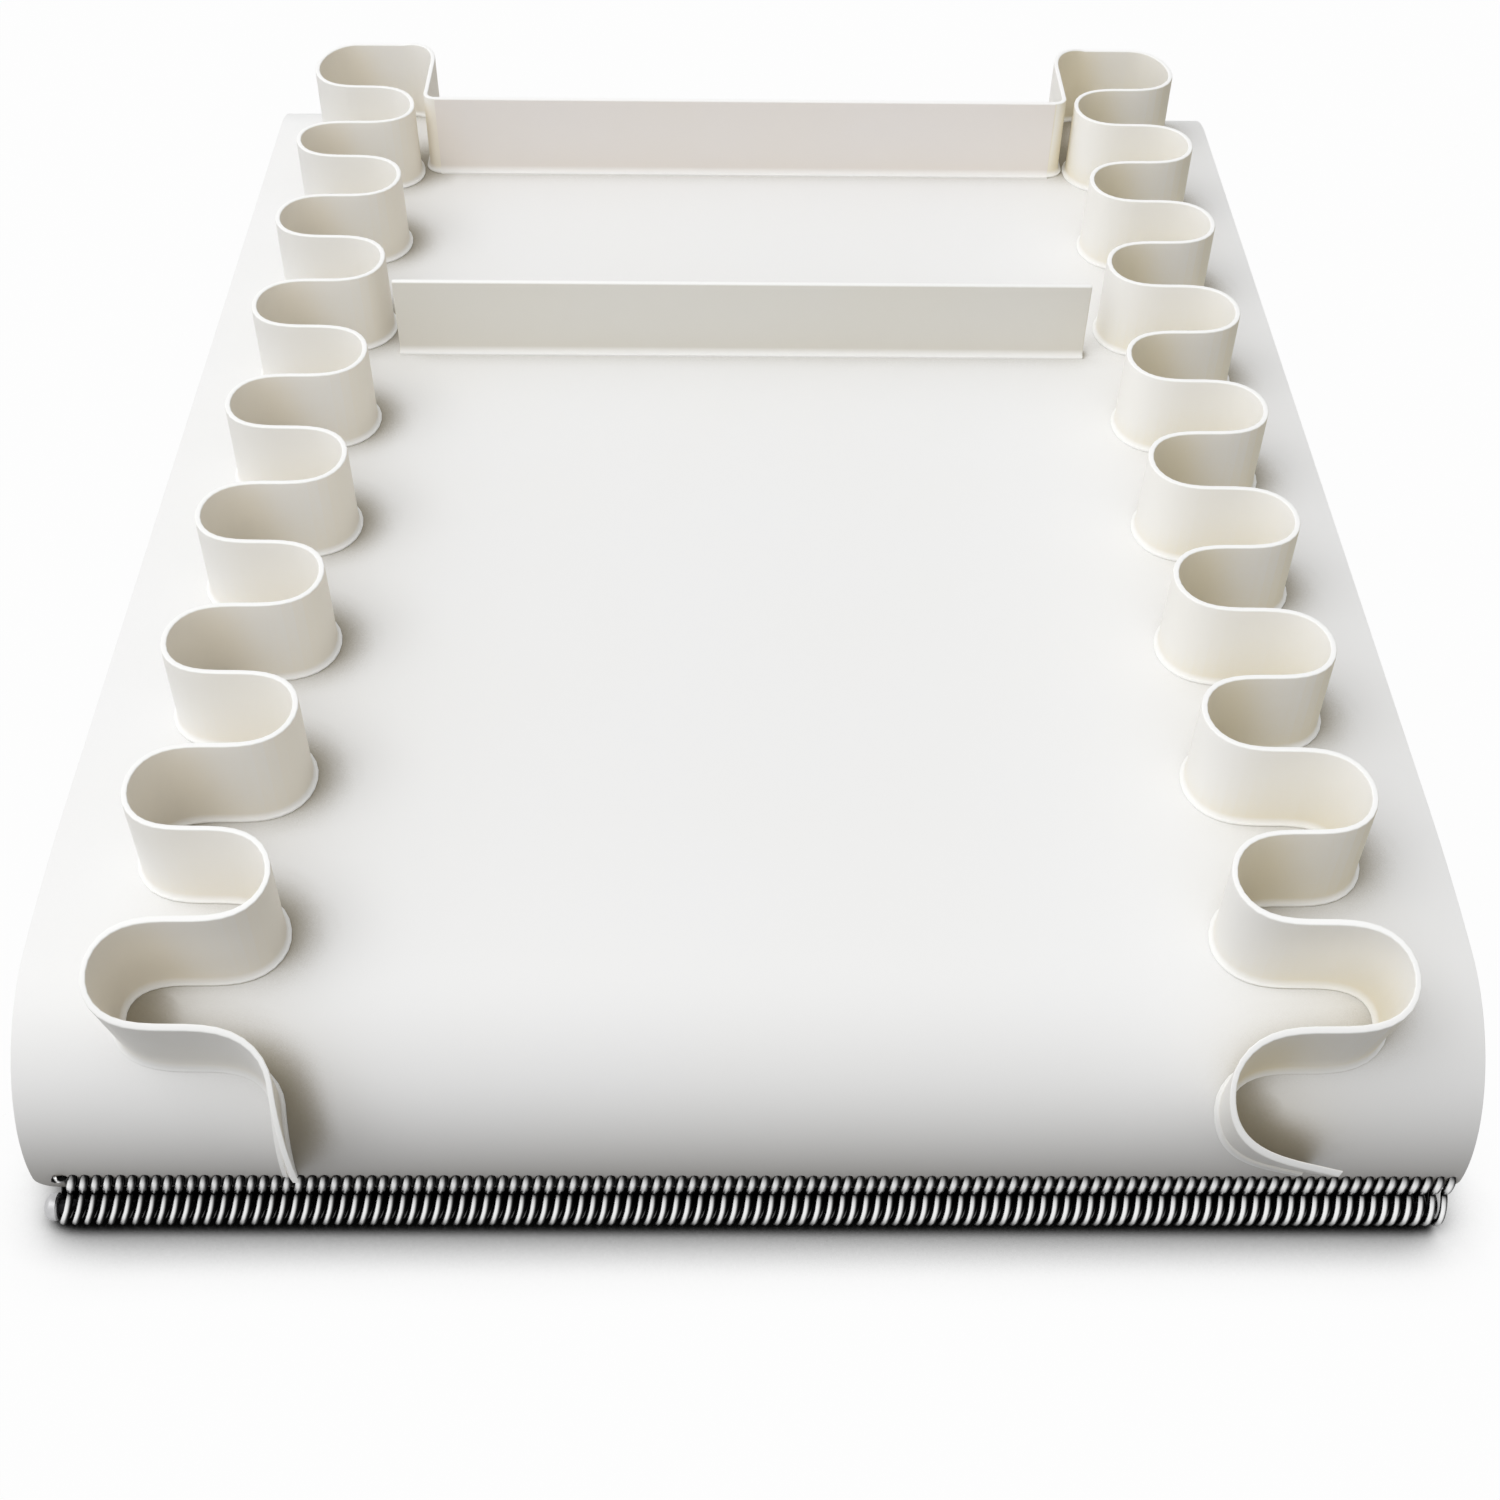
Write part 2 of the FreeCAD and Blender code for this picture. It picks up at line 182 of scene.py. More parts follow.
class BELT_PG_finish(PropertyGroup):
    """Colours of the finishes."""

    cover: colour("Cover", "White PVC of the belt's faces", (0.875, 0.875, 0.873))
    # Painted shade: the tone the cover darkens to beside the lacing
    hem_shade: colour("Hem", "Shaded PVC beside the lacing", (0.387, 0.369, 0.342))
    wall: colour("Wall", "Ivory PVC of the sidewalls", (0.90, 0.89, 0.865))
    # Painted shade: the cleats are drawn darker than the walls' PVC, and the front cleat darker than the
    # rear, for the light their faces miss
    rear_cleat: colour("Rear cleat", "Ivory PVC of the rear cleat", (0.834, 0.797, 0.773))
    front_cleat: colour("Front cleat", "Ivory PVC of the front cleat", (0.743, 0.727, 0.680))
    # Painted highlight: the rims are drawn whiter than the faces, where the light from above catches them
    rim: colour("Rim", "Cut rims of the sidewalls and cleats", (0.97, 0.97, 0.96))
    # Painted light: the welded feet are drawn whiter, for the light the belt throws back onto them
    weld: colour("Weld", "Welded feet of the sidewalls and cleats", (0.92, 0.92, 0.91))
    bond: colour("Bond", "PVC between the plies", (0.78, 0.77, 0.74))
    thread: colour("Thread", "Threads of the woven plies", (0.74, 0.73, 0.70))
    gap: colour("Thread gap", "Gaps between the threads", (0.46, 0.45, 0.43))
    # Painted highlight: bright steel on the crowns, set against the painted black flanks
    steel: colour("Steel", "Polished crowns of the carrying wire", (0.94, 0.94, 0.94))
    # Painted shade: the return wire is the same steel, coloured darker for the shade it lies in
    painted_shade_steel: colour("Dull steel", "Shaded crowns of the return wire", (0.235, 0.235, 0.235))
    # Painted shade: near black for the shade on the wire's flanks and on the belt between the beads
    shade_black: colour("Soot", "Dark flanks of the wire", (0.006, 0.006, 0.006))
    pin: colour("Pin", "Blackened rod of the hinge pin", (0.02, 0.02, 0.022))
    head: colour("Head", "Bare steel of the pin's head", (0.62, 0.62, 0.63))
    floor: colour("Floor", "Pale studio floor", (0.15, 0.15, 0.15))


class BELT_PG_stage(PropertyGroup):
    """Camera, lamps and floor."""

    camera: FloatVectorProperty(name="Camera", description="Place of the camera", subtype="XYZ", size=3,
                                default=(-0.00796, -0.56156, 0.50349))
    camera_pitch: angle("Camera pitch", "How far the camera looks down", 45.596)
    camera_yaw: angle("Camera yaw", "Turn of the camera about the vertical", -1.0854)
    camera_roll: angle("Camera roll", "Turn of the camera about its own line of sight", 1.0081)
    lens: FloatProperty(name="Lens", description="Focal length in millimetres", default=48.0, unit="CAMERA")
    floor_size: length("Floor size", "Side of the square floor", 9.0)
    floor_drop: length("Floor drop", "How far the floor lies under the belt", 0.0004)
    shadow: length("Shadow", "How far the contact shadow reaches over the floor", 0.024)
    zenith: share("Zenith", "Strength of the soft light from straight above", 1.0)
    horizon: share("Horizon", "Strength of the soft light from the sides", 0.38)
    side: share("Side", "Gain of the soft light at the left, and loss at the right", 0.62)
    front: share("Front", "Gain of the soft light at the front, and loss at the rear", 0.25)
    key: FloatProperty(name="Key", description="Power of the large lamp", default=7.0, unit="POWER")
    key_size: length("Key size", "Side of the large lamp", 1.2)


# Belt line

def rear_radius(line):
    return line.height / 2


def rear_y(line):
    return COVER_HIGH.y - rear_radius(line)


def lead_run(line):
    return line.lead_radius * line.lead_angle


def carrying_length(line):
    return line.flat + lead_run(line) + line.nose_radius * (line.end_angle - line.lead_angle)


def carrying_place(line, run, depth):
    """Return y, z and slope on the carrying belt for arrays of run length and depth under its face.

    Behind zero the belt follows a half circle, then a level line, a wide arc and the nose's arc;
    on an arc the point is its centre plus the radius less the depth times (-sine, cosine) of the slope.
    """
    run, depth = np.broadcast_arrays(run, depth)
    rear = rear_radius(line)
    lead = lead_run(line)
    radius = line.lead_radius - line.nose_radius
    y0 = rear_y(line)
    lead_z = line.height - line.lead_radius
    nose_y = y0 - line.flat - radius * math.sin(line.lead_angle)
    nose_z = lead_z + radius * math.cos(line.lead_angle)
    parts = [run < 0, run <= line.flat, run <= line.flat + lead]
    slope = np.select(parts, [run / rear, 0, (run - line.flat) / line.lead_radius],
                      line.lead_angle + (run - line.flat - lead) / line.nose_radius)
    arc = np.select(parts, [rear - depth, 0, line.lead_radius - depth], line.nose_radius - depth)
    centre_y = np.select(parts, [y0, y0 - run, y0 - line.flat], nose_y)
    centre_z = np.select(parts, [rear, line.height - depth, lead_z], nose_z)
    return centre_y - arc * np.sin(slope), centre_z + arc * np.cos(slope), slope


def return_breaks(line):
    """Return the run lengths where the return run's tongue, two bends and level line end, and the bend."""
    rise = PIN_Z - (LAYER_DEPTHS[-1] + line.lower_ply) / 2
    bend = math.acos(1 - rise / (2 * line.tongue_bend))
    first = line.tongue + line.tongue_bend * bend
    second = first + line.tongue_bend * bend
    lower_y = PIN_Y + line.tongue_gap + line.tongue + 2 * line.tongue_bend * math.sin(bend)
    return line.tongue, first, second, second + rear_y(line) - lower_y, bend


def return_place(line, run, depth):
    """Return y and z on the return run for arrays of run length from the lacing and depth over its face.

    A level tongue passes through two opposite arcs of one angle down to a level line on the floor.
    """
    run, depth = np.broadcast_arrays(run, depth)
    tongue, first, second, _, bend = return_breaks(line)
    radius = line.tongue_bend
    end_y = PIN_Y + line.tongue_gap
    upper_y = end_y + tongue
    lower_y = upper_y + 2 * radius * math.sin(bend)
    rise = 2 * radius * (1 - math.cos(bend))
    down = (run - tongue) / radius
    up = (second - run) / radius
    parts = [run <= tongue, run <= first, run <= second]
    y = np.select(parts, [end_y + run, upper_y + (radius + depth) * np.sin(down),
                          lower_y - (radius - depth) * np.sin(up)], lower_y + run - second)
    z = np.select(parts, [rise + depth, rise - radius + (radius + depth) * np.cos(down),
                          radius - (radius - depth) * np.cos(up)], depth)
    return y, z


# Meshes

def quarter(count):
    """Return angles from nought to a right angle."""
    return np.radians(np.linspace(0, 90, count))


def mirrored(values, sign=1):
    """Return a section's values up one side, then down the other side with a sign."""
    return np.concatenate([values, sign * values[::-1]])


def points_of(*values):
    """Join arrays and numbers into points, or into rows of a path."""
    return np.stack(np.broadcast_arrays(*values), axis=-1)


def add_object(name, data):
    """Add an object to the scene."""
    item = bpy.data.objects.new(name, data)
    bpy.context.scene.collection.objects.link(item)
    return item


def ring_faces(rows, columns):
    """Return the quads of a grid whose columns close into rings, and a cap for its first and last ring."""
    index = np.arange(rows * columns).reshape(rows, columns)
    after = np.roll(index, -1, axis=1)
    quads = np.stack([index[:-1], after[:-1], after[1:], index[1:]], axis=-1).reshape(-1, 4)
    return quads.tolist() + [index[0][::-1].tolist(), index[-1].tolist()]


def facing_out(points, faces, quad_count):
    """Turn all faces round if the quads' signed volume, summed over their two triangles, is negative."""
    quads = np.array(faces[:quad_count])
    a, b, c, d = (points[quads[:, corner]] for corner in range(4))
    volume = np.einsum("ij,ij->", a, np.cross(b, c) + np.cross(c, d))
    return faces if volume > 0 else [face[::-1] for face in faces]


def skin(name, grid, surface=None, marks=None, smooth=40.0):
    """Make a closed piece from a grid of rings, with an optional UV map and optional point attributes."""
    rows, columns = grid.shape[:2]
    points = grid.reshape(-1, 3)
    faces = facing_out(points - points.mean(0), ring_faces(rows, columns), (rows - 1) * columns)
    mesh = bpy.data.meshes.new(name)
    mesh.from_pydata(points.tolist(), [], faces)
    mesh.polygons.foreach_set("use_smooth", np.ones(len(mesh.polygons), bool))
    mesh.set_sharp_from_angle(angle=math.radians(smooth))
    if surface is not None:
        corners = np.zeros(len(mesh.loops), np.int32)
        mesh.loops.foreach_get("vertex_index", corners)
        layer = mesh.uv_layers.new(name="Surface")
        layer.data.foreach_set("uv", surface.reshape(-1, 2)[corners].astype(np.float32).ravel())
    for label, values in (marks or {}).items():
        attribute = mesh.attributes.new(label, "FLOAT", "POINT")
        values = np.broadcast_to(values, (rows, columns)).astype(np.float32)
        attribute.data.foreach_set("value", values.ravel())
    return add_object(name, mesh)


def dress(piece, material, slot, *nodes):
    """Give a piece its material, and let it stand for its solids; the slot is not used."""
    piece.data.materials.append(material)
    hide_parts(*nodes)
    return piece


# Layers

def strip_ring(first, last, rounding):
    """Return a layer's section as three arrays: share of the flat width, share of the rounding, and depth.

    The outer face runs left to right, a half-round edge goes down, the inner face comes back.
    """
    flat = np.linspace(-1, 1, 9)[1:-1]
    turn = quarter(4)
    sides = mirrored(np.sin(turn))
    drawn = rounding * (1 - np.cos(turn))
    depths = np.concatenate([first + drawn, last - drawn[::-1]])
    ones = np.ones(len(sides))
    across = np.concatenate([flat, ones, flat[::-1], -ones])
    bulge = np.concatenate([0 * flat, sides, 0 * flat, -sides])
    depth = np.concatenate([first + 0 * flat, depths, last + 0 * flat, depths[::-1]])
    return across, bulge, depth


def laced_half_width(line, distance):
    """Narrow the half width along a quarter circle beside the laced end."""
    inside = np.clip(1 - distance / line.corner, 0, 1)
    return line.half_width - line.corner * (1 - np.sqrt(1 - inside ** 2))


def bead_shadow_mark(line, distance):
    """Mark the painted shadow under the wire's beads, a dark band that rises evenly at both of its edges.
    """
    soft = 0.0005
    rise = np.clip((distance - line.bead_shadow_edge) / soft, 0, 1)
    return rise * np.clip((line.stitch - distance) / soft, 0, 1)


def corner_runs(line):
    """Space the distances from the laced end closely where the corner is steepest."""
    return line.corner * (1 - np.cos(quarter(18)))


def carrying_runs(line):
    """Return run lengths along the carrying belt, close together on its bends and at its corners."""
    lead = line.flat + lead_run(line)
    end = carrying_length(line)
    bend = np.linspace(-math.pi * rear_radius(line), 0, 91)
    top = np.linspace(0, line.flat, 21)[1:]
    slow = np.linspace(line.flat, lead, 19)[1:]
    nose = np.linspace(lead, end - line.corner, 61)[1:]
    return np.concatenate([bend, top, slow, nose, end - corner_runs(line)[::-1][1:]])


def return_runs(line):
    """Return run lengths along the return run, close together at its corners and in its bends."""
    tongue, _, second, end, _ = return_breaks(line)
    down = np.linspace(tongue, second, 31)
    return np.concatenate([corner_runs(line), down, np.linspace(second, end, 61)[1:]])


def layer_piece(name, line, place, runs, laced, depths):
    """Carry a layer's section along the belt: x from the share and rounding, y and z from run and depth."""
    across, bulge, depth = strip_ring(*depths, line.edge)
    runs = runs[:, None]
    distance = np.abs(runs - laced)
    x = across * (laced_half_width(line, distance) - line.edge) + bulge * line.edge
    y, z = place(line, runs, depth)[:2]
    hem_shade = np.clip(1 - distance / line.hem_shade, 0, 1) ** 2
    marks = {"stitch": bead_shadow_mark(line, distance), "hem_shade": hem_shade}
    return skin(name, points_of(x, y, z), points_of(x, runs), marks)


# Feet and rims

def foot_fade(size):
    """Return a welded foot's fade into its face, as shares of its reach and heights on a quarter circle."""
    turn = quarter(6)
    return 1 - np.sin(turn), size.foot_height + (size.fillet - size.foot_height) * (1 - np.cos(turn))


def rim_round(size, tall):
    """Return how far a rim's edge draws in, and its heights, on a quarter circle."""
    turn = quarter(5)
    return size.rim * (1 - np.cos(turn)), tall - size.rim * (1 - np.sin(turn))


def edge_marks(size, tall, up):
    """Mark a section's rim and its welded foot by their heights."""
    return {"rim": np.clip((up - tall + size.rim) / size.rim, 0, 1),
            "weld": np.clip(1 - (up - size.foot_height) / (size.fillet - size.foot_height), 0, 1)}


# Sidewalls

def wall_centre(line, wall, run):
    """Let a wall's middle close in evenly from the rear to the lacing."""
    end = carrying_length(line) - wall.end_gap
    return wall.rear_centre + (wall.front_centre - wall.rear_centre) * run / end


def tail_path(line, wall):
    """Trace the rear tail: a quarter circle from the cleat, a straight stretch, and half an ellipse.

    The last value is how much taller the tail is there; it fades with a cosine on the ellipse.
    """
    turn = quarter(13)
    lobe = wall.pitch / 4
    inner = wall_centre(line, wall, wall.cleat_place) - wall.reach - wall.thickness / 2 - wall.tail_inset
    outer = wall_centre(line, wall, wall.start) + wall.reach
    radius = wall.tail_radius
    first = points_of(wall.cleat_place - radius * (1 - np.cos(turn)), inner - radius * (1 - np.sin(turn)),
                      math.pi / 2 + turn, wall.tail_rise)
    back = np.linspace(wall.cleat_place - radius, wall.start, 10)[1:-1]
    straight = points_of(back, inner, math.pi, wall.tail_rise)
    rise = points_of(wall.start - wall.tail * np.sin(turn), inner + lobe * (1 - np.cos(turn)),
                     np.arctan2(lobe * np.sin(turn), -wall.tail * np.cos(turn)),
                     wall.tail_rise * np.cos(turn))
    level = np.linspace(inner + lobe, outer - lobe, 8)[1:-1]
    crown = points_of(wall.start - wall.tail, level, math.pi / 2, 0)
    fall = points_of(wall.start - wall.tail * np.cos(turn), outer - lobe * (1 - np.sin(turn)),
                     np.arctan2(lobe * np.cos(turn), wall.tail * np.sin(turn)), 0)
    return np.concatenate([first, straight, rise, crown, fall[:-1]])


def leg_path(line, wall, start, size, side, part, swing):
    """Trace legs from lobe to lobe: across follows a cosine, and run grows evenly plus a swing of sine."""
    run = start + size * (part + swing * np.sin(2 * np.pi * part) / (2 * np.pi))
    across = wall_centre(line, wall, run) + side * wall.reach * np.cos(np.pi * part)
    along = size * (1 + swing * np.cos(2 * np.pi * part))
    outward = -side * wall.reach * np.pi * np.sin(np.pi * part)
    return points_of(run, across, np.arctan2(outward, along), 0).reshape(-1, 4)


def wall_path(line, wall, straight_end, shift):
    """Trace a whole wall as run length, distance from the belt's middle, heading, and rise of its rim."""
    count = wall.half_waves + wall.nose_half_waves
    order = np.arange(count)
    size = np.where(order < wall.half_waves, wall.pitch / 2, wall.nose_pitch / 2)
    side = 1 - 2 * (order % 2)
    size = size + np.where(order < 2, side * shift, 0)
    start = wall.start + np.cumsum(size) - size
    part = np.linspace(0, 1, 19)[:-1]
    legs = leg_path(line, wall, start[:, None], size[:, None], side[:, None], part[None, :], 1.0)
    last = wall.start + size.sum()
    last_side = 1 - 2 * (count % 2)
    if straight_end:
        place = np.linspace(last, carrying_length(line) - wall.end_gap, 25)
        across = wall_centre(line, wall, place) + last_side * wall.reach
        end = points_of(place, across, 0, 0)
    else:
        part = np.linspace(0, wall.end_part, 25)
        end = leg_path(line, wall, last, wall.end_pitch / 2, last_side, part, wall.end_swing)
    return np.concatenate([tail_path(line, wall), legs, end])


def wall_ring(wall):
    """Return a wall's section: share of its half thickness, extra width and height.

    Over the welded bead the foot fades into the face, and the rim is rounded at both sides.
    """
    bead_out = 1.12
    bead_height = 0.6
    foot_out, foot_up = foot_fade(wall)
    rim_in, rim_up = rim_round(wall, wall.height)
    rise = np.linspace(wall.fillet, rim_up[0], 6)[1:-1]
    up = np.concatenate([[0, wall.foot_height * bead_height], foot_up, rise, rim_up])
    extra = wall.foot * np.concatenate([[1, bead_out], foot_out, 0 * rise, 0 * rim_in])
    side = np.concatenate([np.ones(len(up) - len(rim_in)), 1 - rim_in / (wall.thickness / 2)])
    side = side * (1 - wall.taper * up / wall.height)
    return mirrored(side, -1), mirrored(extra, -1), mirrored(up)


def wall_piece(name, line, wall, mirror, straight_end, shift):
    """Carry the section along the wall: set off square to the heading, then up.

    The foot rises square to the belt, and the wall leans by a share of the slope and spreads on the nose.
    Over the rear bend it is taller by the belt's fall, so that its rim stays level.
    """
    run, across, heading, taller = wall_path(line, wall, straight_end, shift).T[:, :, None]
    side, extra, up = wall_ring(wall)
    marks = edge_marks(wall, wall.height, up)
    slope = carrying_place(line, run, 0.0)[2]
    tilt = np.maximum(slope, 0) * (1 - wall.lean)
    widen = np.hypot(1, np.sin(heading) * np.tan(tilt))
    end = carrying_length(line) - wall.end_gap
    thick = wall.thickness * (1 - wall.thin * np.clip((run - line.flat) / (end - line.flat), 0, 1))
    moved = side * thick / 2 * widen + extra
    run = run - moved * np.sin(heading)
    across = across + moved * np.cos(heading)
    y, z, slope = carrying_place(line, run, 0.0)
    lean = wall.lean * np.maximum(slope, 0)
    up = up * (1 + (taller + np.where(run < 0, line.height - z, 0)) / wall.height)
    rise = lean + (slope - lean) * marks["weld"]
    nose = np.maximum(0, (run - line.flat) / (end - line.flat))
    wave = (across - wall_centre(line, wall, run)) / wall.reach
    x = mirror * (across + wall.flare * nose ** 3 * wave * up / wall.height)
    return skin(name, points_of(x, y - up * np.sin(rise), z + up * np.cos(rise)), marks=marks)


# Cleats

def cleat_piece(name, cleat, rounding):
    """Carry a blade with a faded foot and rounded top along its box, drawn in at both ends."""
    low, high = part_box(name)
    foot = (high.y - low.y) / 2
    half = cleat.thickness / 2
    tall = high.z - low.z
    foot_out, foot_up = foot_fade(cleat)
    rim_in, rim_up = rim_round(cleat, tall)
    out = mirrored(np.concatenate([[foot], half + (foot - half) * foot_out, half - rim_in]), -1)
    up = mirrored(np.concatenate([[0], foot_up, rim_up]))
    ease = quarter(5)
    ends = rounding * (1 - np.cos(ease))
    inset = mirrored(rounding * (1 - np.sin(ease)))[:, None]
    x = np.concatenate([low.x + ends, (high.x - ends)[::-1]])[:, None]
    y = (low.y + high.y) / 2 + np.sign(out) * np.maximum(np.abs(out) - inset, 0)
    z = low.z + np.where(up > tall / 2, up - inset, up)
    return skin(name + "_blade", points_of(x, y, z), marks=edge_marks(cleat, tall, up))


# Lacing

def smooth_line(points, steps):
    """Return points on an open Catmull-Rom curve: a cubic blend of four neighbours for every stretch."""
    ends = 2 * points[[0, -1]] - points[[1, -2]]
    padded = np.concatenate([ends[:1], points, ends[1:]])
    t = (np.arange(steps) / steps)[:, None]
    a, b, c, d = (padded[first:first + len(points) - 1, None] for first in range(4))
    line = b + t / 2 * (c - a + t * (2 * a - 5 * b + 4 * c - d + t * (3 * (b - c) + d - a)))
    return np.concatenate([line.reshape(-1, points.shape[1]), points[-1:]])


def wire_line(lacing, start, turn, turns, steps):
    """Repeat a turn's corners along the pin after a loose start, smooth them, and lean them to the middle.

    Each corner is its share of the pitch, y and z about the pin in millimetres, its painted sheen and its
    swell.
    """
    order = np.arange(turns)[:, None, None] * np.array([1.0, 0, 0, 0, 0])
    line = smooth_line(np.concatenate([start, (turn + order).reshape(-1, 5)]), steps)
    place, y, z, painted_sheen, swell = line.T * np.array([[1], [0.001], [0.001], [1], [1]])
    x = lacing.middle + lacing.pitch * (place - (turns - 1) / 2)
    return points_of(x - lacing.lean * x / COVER_HIGH.x * z, PIN_Y + y, PIN_Z + z), painted_sheen, swell


def spiral_piece(name, lacing, line, wire, sides):
    """Wind a wire along a line of centres.

    A ring is its centre plus the radius times cosine towards x, swollen where the wire is pressed flat, and
    sine away from the turn's inside; the painted_sheen attribute holds painted highlight and shade: how far
    a ring point faces the lit side, times the sheen of its corner.
    """
    centre, shine, swell = line
    along = np.gradient(centre, axis=0)
    along /= np.linalg.norm(along, axis=1, keepdims=True)
    aside = np.array([1.0, 0.0, 0.0]) - along[:, :1] * along
    aside /= np.linalg.norm(aside, axis=1, keepdims=True)
    out = np.cross(aside, along)
    around = np.linspace(0, 2 * np.pi, sides, endpoint=False)[:, None]
    wide = swell[:, None, None] * aside[:, None]
    ring = np.cos(around) * wide + np.sin(around) * out[:, None]
    # Painted highlight and shade around the wire, brightest left of its front
    painted_sheen = shine[:, None] * np.cos(around - math.pi / 2 - lacing.sheen_turn)[:, 0]
    return skin(name, centre[:, None] + wire / 2 * ring, marks={"painted_sheen": painted_sheen}, smooth=80.0)


def corners_of(*rows):
    """Return corners of a wire, with a swell of one where a row has none."""
    return np.array([row if len(row) == 5 else (*row, 1.0) for row in rows])


def carrying_turn():
    """Corners of the carrying turn: down the belt's inside, round the pin, and up to the next hole."""
    return corners_of(
        (-0.20, 4.2, 13.4, 0.0), (-0.42, 4.5, 8.2, 0.0), (-0.49, 4.5, 4.0, 0.0), (-0.52, 4.15, 0.0, 0.0),
        (-0.50, 2.93, -2.93, 0.1), (-0.43, 0.0, -4.15, 0.25), (-0.26, -2.93, -2.93, 0.55),
        (0.0, -4.15, 0.0, 0.85), (0.26, -3.1, 3.0, 1.0), (0.40, -1.4, 5.6, 0.85), (0.46, -0.2, 6.6, 0.5),
        (0.50, 0.4, 7.5, 0.1), (0.55, -0.3, 9.5, 0.7, 1.2), (0.68, -0.6, 12.2, 1.0, 1.3),
        (0.84, -0.3, 14.9, 0.7, 1.2), (0.88, 1.5, 15.4, 0.0))


def carrying_start():
    """Corners of the cut wire end at the left, which lies on the belt before it enters the first hole."""
    return corners_of(
        (-0.76, -0.5, 15.2, -0.5), (-0.5, -0.7, 15.2, -0.9), (-0.2, -0.6, 15.1, -0.9),
        (0.0, 0.0, 15.0, -0.4), (0.1, 1.5, 14.8, 0.0))


def return_turn():
    """Corners of the return turn: forward under the belt, round the pin, and back over the belt."""
    return corners_of(
        (-0.5, 16.4, 0.0, 0.0), (-0.5, 15.0, -1.8, 0.0), (-0.5, 9.5, -1.9, 0.0), (-0.50, 4.0, -2.8, 0.0),
        (-0.43, 0.0, -3.0, 0.2), (-0.26, -2.12, -2.12, 0.6), (0.0, -3.0, 0.0, 1.0),
        (0.26, -2.12, 2.12, 0.6), (0.43, 0.0, 3.0, 0.2), (0.50, 4.0, 2.8, 0.0), (0.5, 9.5, 1.9, 0.0),
        (0.5, 15.0, 1.8, 0.0))


def turned_piece(name, x, radius, sides):
    """Turn a profile of x and radius about the pin's axis."""
    around = np.linspace(0, 2 * np.pi, sides, endpoint=False)
    y = PIN_Y + radius[:, None] * np.cos(around)
    z = PIN_Z + radius[:, None] * np.sin(around)
    return skin(name, points_of(x[:, None], y, z))


# Materials

def feed(tree, node, inputs):
    """Link sockets to a node's inputs, or give them plain values; a colour gets its alpha."""
    for name, value in inputs.items():
        socket = node.inputs[name]
        if isinstance(value, NodeSocket):
            tree.links.new(value, socket)
        else:
            socket.default_value = (*value, 1.0) if socket.type == "RGBA" else value


def add(tree, kind, inputs=None, **settings):
    """Add a shader node with its settings, then feed its inputs."""
    node = tree.nodes.new("ShaderNode" + kind)
    for name, value in settings.items():
        setattr(node, name, value)
    feed(tree, node, inputs or {})
    return node


def coordinates(tree, kind):
    """Return Object, UV or Generated coordinates."""
    return add(tree, "TexCoord").outputs[kind]


def axes_of(tree, vector):
    """Return the sockets X, Y and Z of a vector."""
    return add(tree, "SeparateXYZ", {0: vector}).outputs


def point_value(tree, name):
    """Return the value of a point attribute."""
    return add(tree, "Attribute", attribute_name=name).outputs["Fac"]


def noise(tree, vector, scale, detail):
    """Add a noise texture and return its value."""
    return add(tree, "TexNoise", {"Vector": vector, "Scale": scale, "Detail": detail}).outputs["Fac"]


def calc(tree, operation, *values):
    """Calculate with sockets or numbers."""
    return add(tree, "Math", dict(enumerate(values)), operation=operation).outputs[0]


def ramp(tree, factor, low, high):
    """Add a Map Range node from low..high to 0..1, smooth at both ends."""
    span = {"Value": factor, "From Min": low, "From Max": high}
    return add(tree, "MapRange", span, interpolation_type="SMOOTHSTEP").outputs["Result"]


def mix_colour(tree, factor, first, second):
    """Mix two colours, each a socket or a linear colour."""
    node = add(tree, "Mix", {"Factor": factor}, data_type="RGBA")
    colours = [index for index, socket in enumerate(node.inputs) if socket.type == "RGBA"]
    feed(tree, node, dict(zip(colours, (first, second))))
    return next(socket for socket in node.outputs if socket.type == "RGBA")


def new_group(name, inputs, outputs):
    """Start a shader node group; its sockets hold numbers, apart from one that is named Vector."""
    group = bpy.data.node_groups.new(name, "ShaderNodeTree")
    for side, labels in (("INPUT", inputs), ("OUTPUT", outputs)):
        for label in labels:
            kind = "NodeSocketVector" if label == "Vector" else "NodeSocketFloat"
            group.interface.new_socket(name=label, in_out=side, socket_type=kind)
    return group, group.nodes.new("NodeGroupInput").outputs, group.nodes.new("NodeGroupOutput")


def place_group(tree, name, inputs):
    """Place a shared node group in a material and return its outputs."""
    return add(tree, "Group", inputs, node_tree=bpy.data.node_groups[name]).outputs


def grain_group():
    """Moulding grain: fine noise is the height, and broad clouds vary tint and gloss."""
    group, start, end = new_group("PvcGrain", ["Vector"], ["Height", "Cloud"])
    fine = noise(group, start["Vector"], scale=2600.0, detail=3.0)
    pebble = noise(group, start["Vector"], scale=700.0, detail=2.0)
    broad = noise(group, start["Vector"], scale=14.0, detail=4.0)
    feed(group, end, {"Height": calc(group, "ADD", fine, pebble),
                      "Cloud": ramp(group, broad, low=0.3, high=0.7)})


def weave_group():
    """Plain weave on a surface map in metres: two sine ridges that pass over each other in turn."""
    thread_pitch = 0.0008
    over_height = 0.35
    group, start, end = new_group("PlyWeave", ["Vector"], ["Height", "Thread"])
    axes = axes_of(group, start["Vector"])
    angles = [calc(group, "MULTIPLY", axes[axis], math.pi / thread_pitch) for axis in "XY"]
    threads = [calc(group, "SINE", turn) for turn in angles]
    ridge = calc(group, "MAXIMUM", *[calc(group, "ABSOLUTE", thread) for thread in threads])
    over = calc(group, "MULTIPLY", *threads)
    feed(group, end, {"Height": calc(group, "MULTIPLY_ADD", over, over_height, ridge),
                      "Thread": ramp(group, ridge, low=0.55, high=1.0)})


